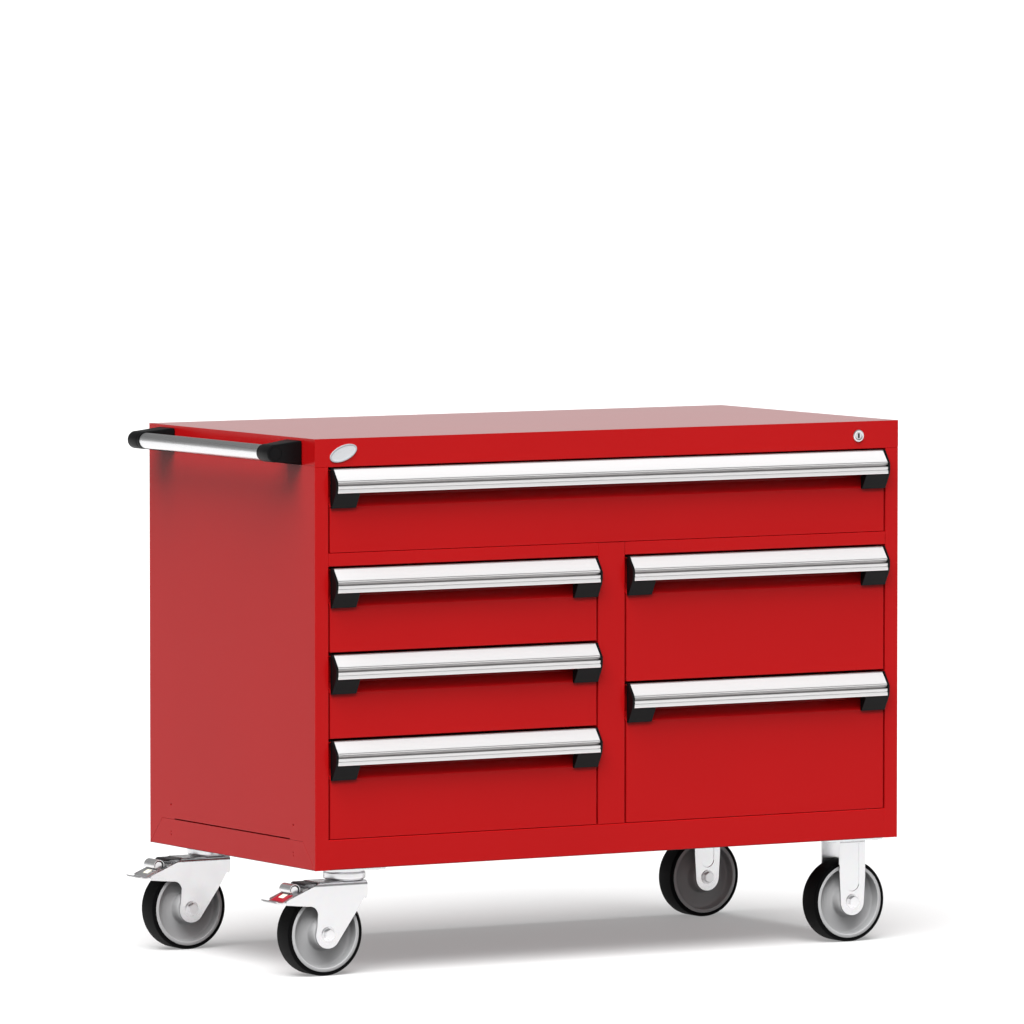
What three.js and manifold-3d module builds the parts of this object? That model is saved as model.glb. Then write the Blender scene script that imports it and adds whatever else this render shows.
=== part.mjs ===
// Mobile workbench: a sheet-metal cabinet with six drawers on four casters.
// Millimetres, +Z up, front towards -Y. Each piece is one closed solid in its own named mesh.
import * as THREE from "three";
import { mergeVertices } from "three/addons/utils/BufferGeometryUtils.js";
import Module from "manifold-3d";

const wasm = await Module();
wasm.setup();

// ---- driving dimensions ----
const cabinetWidth = 1219.2;
const cabinetDepth = 609.6;
const columnHeight = 482.6; // the two side-by-side drawer columns
const topDrawerPitch = 152.4;
const leftPitches = [152.4, 152.4]; // top down; the lowest drawer takes what is left
const rightPitches = [228.6];
const baseRail = 53.8;
const crossRailHeight = 23.4;
const apron = 49.8; // front edge of the worktop pan
const sideApron = 47;
const postWidth = 27;
const centrePostWidth = 55.4;
const sheet = 2;
const seam = 0.4; // gap between sheets that meet
const mitreRun = 44.8; // sloped corner joint of the base pan, along the side
const mitreRise = 49;
const sideSlotStart = 92; // opening above the base pan's side flange, from the front and back
const sideSlotHeight = 1.8;
const sideHoleInset = 79.2; // small holes in the sides, from the front and back
const panelHoleRise = 75.4;
const baseHoleRises = [21, 26.5];
const panelHoleRadius = 2.1;
const baseHoleRadius = 1.5;

const wheelRadius = 75;
const wheelRise = 40.5; // from the top of the tyre to the underside of the cabinet
const treadWidth = 46;
const tyreDepth = 7;
const hubLength = 56;
const axleRadius = 6;
const boreClearance = 0.5;
const forkGauge = 3.5;
const forkClearance = 0.8; // hub end to fork cheek
const casterInset = 54; // wheel plane from the front and back faces
const swivelInset = 89.3; // kingpin from the left end
const swivelTrail = 50.8;
const rigidInset = 82.4; // rigid wheel from the right end
const plateGauge = 4;
const bearingDepth = 18.5;
const bearingRadius = 38;
const runningGap = 0.6;

const frontGapSide = 3.7; // drawer front to post
const frontGapTop = 2.5;
const frontGapBottom = 0.8;
const drawerBackRoom = 49.6; // behind a closed drawer
const slideSpace = 16; // drawer box to opening edge
const slideHeight = 45;
const slideCentre = 50; // above the floor of the opening
const slideWall = 1.5;
const slideFit = 0.8; // between nested slide members
const slideStart = 25;
const slideBackRoom = 34.6;

const handleReach = 22; // nose of the drawer pull, in front of the drawer
const handleBack = 3.5; // its top edge, in front of the drawer
const slopeDrop = 23.6;
const grooveDrop = 6.5;
const lipDrop = 13.4;
const capDrop = 70.5; // foot of the black end caps, below the top of the pull
const bendDrop = 68.5; // foot of the finger recess, below the top of the pull
const capWidth = 50;
const capWall = 3.7;
const capGap = 0.4; // end cap to drawer front
const capProud = 0.8; // end cap beyond the bar it closes
const pullWall = 3;
const recessDepth = 16;
const recessRise = 17.5; // slope at the foot of the finger recess

const tubeRadius = 14;
const tubeReach = 54; // tube axis out from the side
const tubeDrop = 26; // tube axis below the worktop
const bracketInset = 44.4;
const bracketFoot = 55;
const bracketNose = 36;
const bracketHeight = 44;
const bracketRadius = 15.8;

const lockInset = 86.4; // from the right end
const lockDrop = 25.9;
const lockFaceRadius = 11.25;
const lockBodyRadius = 9.2;
const plugRadius = 6;
const lockDepth = 25;
const badgeInset = 57;
const badgeDrop = 26;
const badgeHalf = [29, 14];
const badgeTilt = 0.35;

// ---- worked-out sizes ----
const housingHeight = baseRail + columnHeight + crossRailHeight + topDrawerPitch + apron;
const deckHeight = 2 * wheelRadius + wheelRise;
const openingWidth = (cabinetWidth - 2 * postWidth - centrePostWidth) / 2;
const wideOpening = cabinetWidth - 2 * postWidth;
const crossRailBottom = baseRail + columnHeight;
const topDrawerFloor = crossRailBottom + crossRailHeight;
const frontPostTop = housingHeight - apron - seam;
const sidePanelTop = housingHeight - sideApron - seam;
const innerBack = cabinetDepth - sheet - seam; // the back panel's outer face
const drawerBoxDepth = cabinetDepth - drawerBackRoom;
const slideLength = cabinetDepth - slideStart - slideBackRoom;
const axleDrop = wheelRise + wheelRadius;

// ---- materials ----
const paint = (color, roughness, metalness) =>
  new THREE.MeshStandardMaterial({ color, roughness, metalness });
const red = paint(0xc02024, 0.35, 0.1);
const aluminium = paint(0xd8d8da, 0.35, 0.9);
const zinc = paint(0xe4e4e6, 0.3, 0.9);
const blackPlastic = paint(0x17171a, 0.5, 0);
const greyPlastic = paint(0x9a9a9a, 0.5, 0);
const rubber = paint(0x0d0d0e, 0.8, 0);
const steel = paint(0xb8b8bc, 0.35, 0.9);
const redPlastic = paint(0xa01828, 0.45, 0);
const badgeGrey = paint(0xdadce0, 0.3, 0.4);

// ---- solid helpers ----
function solid(geometry) {
  const loose = geometry.index ? geometry.toNonIndexed() : geometry.clone();
  loose.deleteAttribute("normal");
  loose.deleteAttribute("uv");
  const merged = mergeVertices(loose, 1e-4);
  return new wasm.Manifold(
    new wasm.Mesh({
      numProp: 3,
      vertProperties: merged.attributes.position.array,
      triVerts: new Uint32Array(merged.index.array),
    }),
  );
}

const join = (...parts) => parts.flat().reduce((whole, part) => whole.add(part));

function block([x0, x1], [y0, y1], [z0, z1]) {
  const box = new THREE.BoxGeometry(x1 - x0, y1 - y0, z1 - z0);
  return solid(box.translate((x0 + x1) / 2, (y0 + y1) / 2, (z0 + z1) / 2));
}

const outlineOf = (points) => new THREE.Shape(points.map(([u, v]) => new THREE.Vector2(u, v)));

function extrude(outline, from, to, basis, curveSegments = 6) {
  const shape = Array.isArray(outline) ? outlineOf(outline) : outline;
  const options = { depth: to - from, bevelEnabled: false, curveSegments };
  const geometry = new THREE.ExtrudeGeometry(shape, options).translate(0, 0, from);
  return solid(geometry.applyMatrix4(new THREE.Matrix4().makeBasis(...basis)));
}

const axisX = new THREE.Vector3(1, 0, 0);
const axisY = new THREE.Vector3(0, 1, 0);
const axisZ = new THREE.Vector3(0, 0, 1);
const backwards = new THREE.Vector3(0, -1, 0);

// An outline in (y, z) run along x, in (x, z) run along y, and in (x, y) run along z.
const alongX = (outline, x0, x1) => extrude(outline, x0, x1, [axisY, axisZ, axisX]);
const alongY = (outline, y0, y1) => extrude(outline, -y1, -y0, [axisX, axisZ, backwards]);
const alongZ = (outline, z0, z1) => extrude(outline, z0, z1, [axisX, axisY, axisZ]);

// A profile of [radius, height] points turned about the z axis, or about y with rodY.
function turned(profile, segments = 16) {
  const points = profile.map(([r, h]) => new THREE.Vector2(r, h));
  return new THREE.LatheGeometry(points, segments).rotateX(Math.PI / 2);
}
const rodZ = (r, z0, z1, segments = 16) =>
  solid(turned([[0, z0], [r, z0], [r, z1], [0, z1]], segments));
const rodX = (r, x0, x1, segments) =>
  solid(turned([[0, x0], [r, x0], [r, x1], [0, x1]], segments).rotateY(Math.PI / 2));
const spunY = (profile, segments) => solid(turned(profile, segments).rotateX(Math.PI / 2));
const rodY = (r, y0, y1, segments = 16) =>
  spunY([[0, -y1], [r, -y1], [r, -y0], [0, -y0]], segments);

function piece(name, material, part) {
  const made = part.getMesh();
  const geometry = new THREE.BufferGeometry();
  geometry.setAttribute("position", new THREE.BufferAttribute(made.vertProperties, 3));
  geometry.setIndex(new THREE.BufferAttribute(made.triVerts, 1));
  const mesh = new THREE.Mesh(geometry, material);
  mesh.name = name;
  return mesh;
}

function group(x, y, z, ...children) {
  const made = new THREE.Group();
  made.position.set(x, y, z);
  made.add(...children);
  return made;
}

// ---- drawer slides ----
// A C-shaped member whose web is at x = web and whose flanges reach to x = edge.
function slideMember(web, edge, height, y0, y1) {
  const side = Math.sign(edge - web);
  const half = height / 2;
  const inner = web + side * slideWall;
  const outline = [
    [web, -half], [edge, -half], [edge, slideWall - half], [inner, slideWall - half],
    [inner, half - slideWall], [edge, half - slideWall], [edge, half], [web, half],
  ];
  return alongY(outline, y0, y1);
}

const memberStep = slideWall + slideFit;
const cabinetWebAt = 0.5; // fixed member's web, in from the opening edge
const fixedFlangeTo = slideSpace - memberStep - 0.2;
const middleHeight = slideHeight - 2 * memberStep;
const innerHeight = middleHeight - 2 * memberStep;

// The fixed member at an opening edge; side is 1 at a left edge and -1 at a right edge.
function cabinetMember(edgeX, side, centreZ, padDepths) {
  const web = edgeX + side * cabinetWebAt;
  const member = slideMember(
    web, edgeX + side * fixedFlangeTo, slideHeight, slideStart, slideStart + slideLength);
  const padX = [edgeX - side, web + side].sort((a, b) => a - b);
  const padHeight = [-slideHeight / 3, slideHeight / 3];
  const pads = padDepths.map((y) => block(padX, [y, y + 12], padHeight));
  return join(member, pads).translate(0, 0, centreZ);
}

const slideHeights = (floor) => floor + slideCentre;

// ---- drawer layout ----
function column(name, edgeX, width, pitches, bottom) {
  let top = bottom + pitches.reduce((sum, pitch) => sum + pitch, 0);
  return pitches.map((pitch, index) => {
    top -= pitch;
    return { name: `${name}${index + 1}`, edgeX, width, pitch, floor: top };
  });
}

const withRemainder = (pitches) => [
  ...pitches, columnHeight - pitches.reduce((sum, pitch) => sum + pitch, 0)];
const rightEdgeX = postWidth + openingWidth + centrePostWidth;
const wideDrawer = {
  name: "drawer_top", edgeX: postWidth, width: wideOpening,
  pitch: topDrawerPitch, floor: topDrawerFloor,
};
const leftDrawers = column(
  "drawer_left_", postWidth, openingWidth, withRemainder(leftPitches), baseRail);
const rightDrawers = column(
  "drawer_right_", rightEdgeX, openingWidth, withRemainder(rightPitches), baseRail);
const drawers = [wideDrawer, ...leftDrawers, ...rightDrawers];

// ---- cabinet ----
// side is 1 for the left panel and -1 for the right one, which is its mirror image.
// Round holes through a side's sheet near its front and back, one at each height.
function sideHoles(face, side, radius, rises) {
  const ends = [face - side, face + side * (sheet + 0.5)].sort((a, b) => a - b);
  return join([sideHoleInset, cabinetDepth - sideHoleInset].map((y) =>
    rises.map((z) => rodX(radius, ...ends, 10).translate(0, y, z))).flat());
}

function sidePanel(name, side, members) {
  const face = side > 0 ? 0 : cabinetWidth;
  const span = (from, to) => [face + side * from, face + side * to].sort((a, b) => a - b);
  const notch = sheet + seam;
  const outline = [
    [0, 0], [mitreRun, mitreRise], [sideSlotStart, mitreRise],
    [sideSlotStart, mitreRise + sideSlotHeight],
    [cabinetDepth - sideSlotStart, mitreRise + sideSlotHeight],
    [cabinetDepth - sideSlotStart, mitreRise],
    [cabinetDepth - mitreRun, mitreRise], [cabinetDepth, 0],
    [cabinetDepth, sidePanelTop], [notch, sidePanelTop], [notch, frontPostTop], [0, frontPostTop],
  ];
  const web = alongX(outline, ...span(0, sheet))
    .subtract(sideHoles(face, side, panelHoleRadius, [panelHoleRise]));
  const post = block(span(0, postWidth), [0, sheet], [0, frontPostTop]);
  const returnFlange = block(
    span(postWidth - sheet, postWidth), [sheet / 2, 42], [sheet + seam, frontPostTop]);
  const backPost = block(
    span(0, postWidth), [cabinetDepth - sheet, cabinetDepth], [0, sidePanelTop]);
  const joggle = block(
    span(sheet / 2, 2 * sheet + seam), [22, innerBack - sheet - seam - 1],
    [sidePanelTop - 6, sidePanelTop]);
  const tongue = block(
    span(sheet + seam, 2 * sheet + seam), [22, innerBack - sheet - seam - 1],
    [sidePanelTop - 6, housingHeight - sheet - seam]);
  const rearPlateY = slideStart + slideLength - 20;
  const rearPlates = members.map(({ floor }) => block(
    span(sheet / 2, postWidth + cabinetWebAt + 1), [rearPlateY, rearPlateY + sheet],
    [slideHeights(floor) - slideHeight / 3, slideHeights(floor) + slideHeight / 3]));
  const rails = members.map(({ floor }) => cabinetMember(
    face + side * postWidth, side, slideHeights(floor), [28]));
  return piece(name, red,
    join(web, post, returnFlange, backPost, joggle, tongue, rearPlates, rails));
}

function basePan() {
  const floorY = [sheet + seam, cabinetDepth - sheet - seam];
  const betweenPosts = [postWidth + seam, cabinetWidth - postWidth - seam];
  const [front, back] = floorY; // clear of the corner posts
  const corner = (front * mitreRise) / mitreRun - seam;
  const flange = [
    [front, 0], [front, corner - seam], [mitreRun + seam / 2, mitreRise - seam],
    [cabinetDepth - mitreRun - seam / 2, mitreRise - seam], [back, corner - seam], [back, 0],
  ];
  return piece("base", red, join(
    block([0, cabinetWidth], floorY, [0, sheet]),
    block(betweenPosts, [0, cabinetDepth], [0, sheet]),
    block(betweenPosts, [0, sheet], [0, baseRail]),
    block(betweenPosts, [0, 20], [baseRail - sheet, baseRail]),
    block(betweenPosts, [cabinetDepth - sheet, cabinetDepth], [0, baseRail]),
    alongX(flange, 0, sheet),
    alongX(flange, cabinetWidth - sheet, cabinetWidth),
  ).subtract(join(
    sideHoles(0, 1, baseHoleRadius, baseHoleRises),
    sideHoles(cabinetWidth, -1, baseHoleRadius, baseHoleRises),
  )));
}

function worktop() {
  const top = housingHeight;
  const pan = join(
    block([0, cabinetWidth], [0, cabinetDepth], [top - sheet, top]),
    block([0, cabinetWidth], [0, sheet], [top - apron, top]),
    block([postWidth, cabinetWidth - postWidth], [0, 20], [top - apron, top - apron + sheet]),
    block([0, sheet], [0, cabinetDepth], [top - sideApron, top]),
    block([cabinetWidth - sheet, cabinetWidth], [0, cabinetDepth], [top - sideApron, top]),
    block([0, cabinetWidth], [cabinetDepth - sheet, cabinetDepth], [top - sideApron, top]),
  );
  const lockHole = rodY(lockBodyRadius + 0.3, -5, 10).translate(
    cabinetWidth - lockInset, 0, top - lockDrop);
  return piece("worktop", red, pan.subtract(lockHole));
}

function backPanel() {
  const margin = sheet + seam;
  return piece("back_panel", red, block(
    [margin, cabinetWidth - margin], [innerBack - sheet, innerBack],
    [margin, housingHeight - margin]));
}

function crossRail() {
  const span = [postWidth + seam, cabinetWidth - postWidth - seam];
  const top = topDrawerFloor;
  const postX = postWidth + openingWidth;
  const postRoom = block(
    [postX - seam, postX + centrePostWidth + seam], [-1, sheet + seam],
    [crossRailBottom - 1, top + 1]);
  return piece("cross_rail", red, join(
    block(span, [0, sheet], [crossRailBottom, top]),
    block(span, [0, 25], [crossRailBottom, crossRailBottom + sheet]),
    block(span, [0, 25], [top - sheet, top]),
  ).subtract(postRoom));
}

function centrePartition() {
  const x0 = postWidth + openingWidth;
  const x1 = x0 + centrePostWidth;
  const back = innerBack - sheet - seam;
  const low = baseRail + seam;
  const high = crossRailBottom - seam;
  const web = [
    [0, low], [20 + seam, low], [20 + seam, sheet + seam], [back, sheet + seam],
    [back, high], [0, high],
  ];
  const pads = [45, slideStart + slideLength - 60];
  const rail = (edgeX, side) => ({ floor }) =>
    cabinetMember(edgeX, side, slideHeights(floor), pads);
  return piece("centre_partition", red, join(
    alongX(web, x0, x0 + sheet),
    alongX(web, x1 - sheet, x1),
    block([x0, x1], [0, sheet], [low, topDrawerFloor]),
    leftDrawers.map(rail(x0, -1)),
    rightDrawers.map(rail(x1, 1)),
  ));
}

// ---- lock and badge ----
function lock() {
  const faceProud = 2.8;
  const bore = plugRadius + 0.4;
  const body = spunY([
    [bore, -lockDepth], [lockBodyRadius, -lockDepth], [lockBodyRadius, 0.3],
    [lockFaceRadius, 0.3], [lockFaceRadius, faceProud - 0.8], [lockFaceRadius - 0.8, faceProud],
    [bore, faceProud], [bore, -lockDepth],
  ], 20);
  const keyway = block([-0.8, 0.8], [-faceProud, -faceProud + 2.5], [-3.5, 3.5]);
  const plug = rodY(plugRadius, -faceProud + 0.5, lockDepth - 1).subtract(keyway);
  return group(cabinetWidth - lockInset, 0, housingHeight - lockDrop,
    piece("lock_cylinder", steel, body), piece("lock_plug", steel, plug));
}

function badge() {
  const oval = new THREE.Shape().absellipse(0, 0, ...badgeHalf, 0, 2 * Math.PI, false, badgeTilt);
  const made = piece("badge", badgeGrey, alongY(oval, -1.8, -0.3));
  made.position.set(badgeInset, 0, housingHeight - badgeDrop);
  return made;
}

// ---- push handle ----
// end is 1 for the front bracket and -1 for the back one.
function handleBracket(name, end) {
  const half = bracketHeight / 2;
  const profile = new THREE.Shape()
    .moveTo(-seam, -half)
    .lineTo(-seam, half)
    .absarc(-tubeReach, 0, bracketRadius, 1.65, 2 * Math.PI - 1.65, false);
  const span = (from, to) => [end * from, end * to].sort((a, b) => a - b);
  const lump = alongY(profile, ...span(0, bracketFoot));
  const reach = tubeReach + bracketRadius + 1;
  const cut = [[5, bracketFoot + 1.3], [-reach, bracketNose], [-reach, bracketFoot + 5],
    [5, bracketFoot + 5]].map(([x, y]) => [x, end * y]);
  const wedge = alongZ(cut, -half - 1, half + 1);
  const socket = rodY(tubeRadius + 0.3, ...span(5, bracketFoot + 5), 24).translate(-tubeReach, 0, 0);
  const made = piece(name, blackPlastic, lump.subtract(wedge).subtract(socket));
  made.position.y = end > 0 ? bracketInset : cabinetDepth - bracketInset;
  return made;
}

function pushHandle() {
  const tube = piece("push_handle_tube", aluminium,
    rodY(tubeRadius, bracketInset + 5.5, cabinetDepth - bracketInset - 5.5, 24));
  tube.position.x = -tubeReach;
  return group(0, 0, housingHeight - tubeDrop, tube,
    handleBracket("push_handle_bracket_front", 1),
    handleBracket("push_handle_bracket_back", -1));
}

// ---- drawers ----
function drawerBody({ name, width, pitch }) {
  const x0 = frontGapSide;
  const x1 = width - frontGapSide;
  const foot = frontGapBottom;
  const head = pitch - frontGapTop;
  const shelf = head - sheet - 0.6; // the pull's top flange lies on this
  const bend = head - bendDrop;
  const recess = bend + recessRise;
  const slopeLength = Math.hypot(recessDepth, recessRise);
  const offset = (sheet * slopeLength) / recessDepth;
  const innerSlope = (y) => bend - offset + (recessRise / recessDepth) * y;
  const innerFace = recessDepth + sheet;
  const panel = [
    [0, foot], [20, foot], [20, foot + sheet], [sheet, foot + sheet],
    [sheet, innerSlope(sheet)], [innerFace, innerSlope(innerFace)], [innerFace, shelf],
    [4, shelf], [4, shelf - sheet], [recessDepth, shelf - sheet], [recessDepth, recess],
    [0, bend],
  ];
  const cheek = [[0, foot], [innerFace, foot], [innerFace, recess], [recessDepth, recess],
    [0, bend]];
  const boxX = [slideSpace, width - slideSpace];
  const floor = foot + 7;
  const rim = head - 26;
  const depth = [sheet / 2, drawerBoxDepth];
  const member = (web, edge) => slideMember(
    web, edge, innerHeight, slideStart, drawerBoxDepth).translate(0, 0, slideCentre);
  const webIn = 0.5;
  const reach = slideSpace - cabinetWebAt - 2 * memberStep;
  return piece(name + "_body", red, join(
    alongX(panel, x0, x1),
    alongX(cheek, x0, x0 + sheet),
    alongX(cheek, x1 - sheet, x1),
    block(boxX, depth, [floor, floor + sheet]),
    block([boxX[0], boxX[0] + sheet], depth, [floor, rim]),
    block([boxX[1] - sheet, boxX[1]], depth, [floor, rim]),
    block(boxX, [drawerBoxDepth - sheet, drawerBoxDepth], [floor, rim]),
    member(boxX[0] + webIn, boxX[0] - reach),
    member(boxX[1] - webIn, boxX[1] + reach),
  ));
}

// The pull: a sloped label face over a groove and a hooked lip, closed by an end cap each side.
function drawerPull({ name, width, pitch }) {
  const x0 = frontGapSide;
  const x1 = width - frontGapSide;
  const head = pitch - frontGapTop;
  const slopeFoot = head - slopeDrop;
  const lipTop = slopeFoot - grooveDrop;
  const lipFoot = lipTop - lipDrop;
  const nose = capProud - handleReach;
  const grooveFloor = nose + 6;
  const bar = [
    [-handleBack, head - 0.5], [nose + 1, slopeFoot], [grooveFloor, slopeFoot - 1],
    [grooveFloor, lipTop + 1], [nose + 1, lipTop], [nose, lipTop - 4], [nose, lipFoot + 5],
    [nose + 2.5, lipFoot], [nose + 7, lipFoot], [nose + 7, lipFoot + pullWall],
    [grooveFloor + pullWall, lipTop - pullWall], [grooveFloor + pullWall, slopeFoot + 2],
    [-handleBack + 1, head - 2 * pullWall], [-handleBack + 1, head - sheet],
    [recessDepth, head - sheet], [recessDepth, head - 0.5],
  ];
  const toe = 2 - handleReach;
  const capFoot = head - capDrop;
  const cap = [
    [-handleBack - 1.5, head], [-handleReach, slopeFoot - 1], [-handleReach, lipFoot + 2],
    [toe, lipFoot - 1], [-capGap, capFoot], [-capGap, head - 2 * pullWall], [-capGap, head],
  ];
  const leg = [
    [toe + 1, lipFoot - 1.5], [-capGap - 1, capFoot + 1], [-capGap - 1, lipFoot - 3],
    [toe + 9, lipFoot + 1.5], [toe + 1, lipFoot + 1.5],
  ];
  const ends = [[x0, x0 + capWall, x0 + capWidth], [x1, x1 - capWall, x1 - capWidth]];
  const caps = ends.map(([end, inside, far]) => join(
    alongX(cap, Math.min(end, inside), Math.max(end, inside)),
    alongX(leg, Math.min(end, far), Math.max(end, far))));
  return piece(name + "_pull", aluminium, join(alongX(bar, x0 + 1, x1 - 1), caps));
}

function middleSlide(name, edgeX, side) {
  const web = edgeX + side * (cabinetWebAt + memberStep);
  const member = slideMember(
    web, edgeX + side * fixedFlangeTo, middleHeight, slideStart, slideStart + slideLength);
  const made = piece(name, zinc, member);
  made.position.z = slideCentre;
  return made;
}

const drawer = (layout) => group(layout.edgeX, 0, layout.floor,
  drawerBody(layout), drawerPull(layout),
  middleSlide(layout.name + "_slide_left", 0, 1),
  middleSlide(layout.name + "_slide_right", layout.width, -1));

// ---- casters ----
// A caster's own frame has the wheel's mid-plane at y = 0 and the cabinet's underside at z = 0.
const cheekIn = hubLength / 2 + forkClearance;
const cheekOut = cheekIn + forkGauge;
const crownTop = -(plateGauge + bearingDepth + runningGap);
const wheelSides = 32;

function wheel(name, x) {
  const hubRadius = 29.5;
  const rimRadius = wheelRadius - tyreDepth;
  const half = treadWidth / 2;
  const bore = axleRadius + boreClearance;
  const hubHalf = hubLength / 2;
  const core = spunY([
    [bore, -hubHalf], [hubRadius - 6, -hubHalf], [hubRadius, -hubHalf + 8], [hubRadius + 6, -7],
    [rimRadius - 10, -5], [rimRadius - 7, -half + 1], [rimRadius, -half + 1],
    [rimRadius, half - 1], [rimRadius - 7, half - 1], [rimRadius - 10, 5], [hubRadius + 6, 7],
    [hubRadius, hubHalf - 8], [hubRadius - 6, hubHalf], [bore, hubHalf], [bore, -hubHalf],
  ], wheelSides);
  const seat = rimRadius + 0.3;
  const tyre = spunY([
    [seat, -half], [wheelRadius - 3, -half], [wheelRadius, -half + 5], [wheelRadius, half - 5],
    [wheelRadius - 3, half], [seat, half], [seat, -half],
  ], wheelSides);
  return group(x, 0, -axleDrop, piece(name + "_wheel", greyPlastic, core),
    piece(name + "_tyre", rubber, tyre),
    piece(name + "_axle", steel, join(
      rodY(axleRadius, -cheekOut - 3, cheekOut + 3),
      rodY(11, -cheekOut - 8, -cheekOut - 0.4, 6),
      rodY(11, cheekOut + 0.4, cheekOut + 8, 6))));
}

// Both cheeks of a fork from one outline in (x, z) about the axle, each with its axle hole.
function cheeks(outline, axleX) {
  const hole = rodY(axleRadius + 0.4, -cheekOut - 1, cheekOut + 1);
  const plates = [[-cheekOut, -cheekIn], [cheekIn, cheekOut]].map(
    (span) => alongY(outline, ...span).subtract(hole));
  return plates.map((plate) => plate.translate(axleX, 0, -axleDrop));
}

function swivelFork(name) {
  const rise = axleDrop + crownTop; // crown above the axle
  const outline = new THREE.Shape()
    .moveTo(-84, 55)
    .lineTo(-38, 51)
    .quadraticCurveTo(-20, 49, -20, 32)
    .lineTo(-24, 0)
    .absarc(0, -1, 24.5, Math.PI, 2 * Math.PI - 0.55, false)
    .lineTo(57, 36)
    .lineTo(80, 76)
    .lineTo(80, rise)
    .lineTo(-14, rise)
    .lineTo(-84, 62);
  const crown = block([-swivelTrail - 14, 80 - swivelTrail], [-cheekOut, cheekOut],
    [crownTop - forkGauge, crownTop]);
  const pinHole = rodZ(8.4, crownTop - 10, crownTop + 10);
  return piece(name + "_fork", zinc,
    join(crown, cheeks(outline, -swivelTrail)).subtract(pinHole));
}

function swivelPlate(name) {
  return piece(name + "_plate", zinc, join(
    block([-57, 57], [-48, 48], [-plateGauge, -0.3]),
    rodZ(bearingRadius - 3, -plateGauge - 6, -plateGauge + 1, 24),
    rodZ(bearingRadius, crownTop + runningGap, -plateGauge - 5, 24),
    rodZ(8, crownTop - forkGauge - 7, -plateGauge),
    rodZ(13, crownTop - forkGauge - 9, crownTop - forkGauge - runningGap, 6),
  ));
}

function rigidFork(name) {
  const half = 27.5;
  const outline = new THREE.Shape()
    .moveTo(-24.5, 0)
    .absarc(0, -1, 24.7, Math.PI, 2 * Math.PI, false)
    .lineTo(half, 45)
    .lineTo(half, axleDrop - 0.3)
    .lineTo(-half, axleDrop - 0.3)
    .lineTo(-half, 45);
  return piece(name + "_fork", zinc, join(
    block([-57, 57], [-cheekOut - 12, cheekOut + 12], [-plateGauge, -0.3]),
    cheeks(outline, 0)));
}

// The foot pedal turns on a cross pin between the fork's arms; it is stored pressed down.
const pedalPin = [-swivelTrail - 41, -38]; // [x, z] from the kingpin and the underside
function brakePedal(name) {
  const outline = [
    [8, -6], [8, 6], [-4, 8], [-42, -13], [-60, -5], [-62, -8], [-44, -18], [-8, -2],
  ];
  const arms = cheekIn - 1.2;
  const pedal = join(
    alongY(outline, -arms, arms),
    rodY(6, -arms, arms, 12),
  );
  const made = piece(name + "_brake_pedal", redPlastic, pedal);
  made.position.set(pedalPin[0], 0, pedalPin[1]);
  return made;
}

const swivelCaster = (name, y) => group(swivelInset, y, 0,
  swivelPlate(name), swivelFork(name), brakePedal(name), wheel(name, -swivelTrail));
const rigidCaster = (name, y) => group(cabinetWidth - rigidInset, y, 0,
  rigidFork(name), wheel(name, 0));

// ---- the whole workbench ----
const wheelBack = cabinetDepth - casterInset;
const workbench = group(0, 0, deckHeight,
  sidePanel("side_left", 1, [wideDrawer, ...leftDrawers]),
  sidePanel("side_right", -1, [wideDrawer, ...rightDrawers]),
  backPanel(), worktop(), basePan(), crossRail(), centrePartition(),
  lock(), badge(), pushHandle(),
  ...drawers.map(drawer),
  swivelCaster("caster_front_left", casterInset), swivelCaster("caster_back_left", wheelBack),
  rigidCaster("caster_front_right", casterInset), rigidCaster("caster_back_right", wheelBack));

// The origin is on the floor under the middle of the whole outline, handles included.
const handleSpan = tubeReach + bracketRadius;
const parts = group(
  -(cabinetWidth - handleSpan) / 2, -(cabinetDepth - handleReach) / 2, 0, workbench);

export default parts;
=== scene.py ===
import math

import bmesh
import bpy
from mathutils import Matrix, Vector


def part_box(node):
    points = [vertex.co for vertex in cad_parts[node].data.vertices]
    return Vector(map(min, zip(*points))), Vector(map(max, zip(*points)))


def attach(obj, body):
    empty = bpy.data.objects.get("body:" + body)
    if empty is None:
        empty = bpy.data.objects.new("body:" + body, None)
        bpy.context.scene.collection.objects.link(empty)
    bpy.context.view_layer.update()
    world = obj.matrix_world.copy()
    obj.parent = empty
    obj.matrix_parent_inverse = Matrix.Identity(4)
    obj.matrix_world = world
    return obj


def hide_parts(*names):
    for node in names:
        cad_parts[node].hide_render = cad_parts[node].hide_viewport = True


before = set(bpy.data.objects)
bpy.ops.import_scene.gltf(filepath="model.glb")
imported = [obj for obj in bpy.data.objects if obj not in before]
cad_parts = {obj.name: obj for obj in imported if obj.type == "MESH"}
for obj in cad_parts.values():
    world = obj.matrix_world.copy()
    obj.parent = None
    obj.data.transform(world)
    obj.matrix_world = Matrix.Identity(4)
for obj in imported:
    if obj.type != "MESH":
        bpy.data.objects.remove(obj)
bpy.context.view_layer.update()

mm = 0.001
scene = bpy.context.scene


class Sock:
    # wraps an output socket so that plain arithmetic adds Math nodes
    def __init__(self, tree, socket):
        self.tree = tree
        self.socket = socket

    def math(self, operation, other):
        node = self.tree.nodes.new("ShaderNodeMath")
        node.operation = operation
        for slot, value in zip(node.inputs, (self, other)):
            if isinstance(value, Sock):
                self.tree.links.new(value.socket, slot)
            else:
                slot.default_value = value
        return Sock(self.tree, node.outputs[0])

    def __add__(self, other):
        return self.math("ADD", other)

    def __mul__(self, other):
        return self.math("MULTIPLY", other)

    def __pow__(self, other):
        return self.math("POWER", other)

    __radd__ = __add__
    __rmul__ = __mul__


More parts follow.
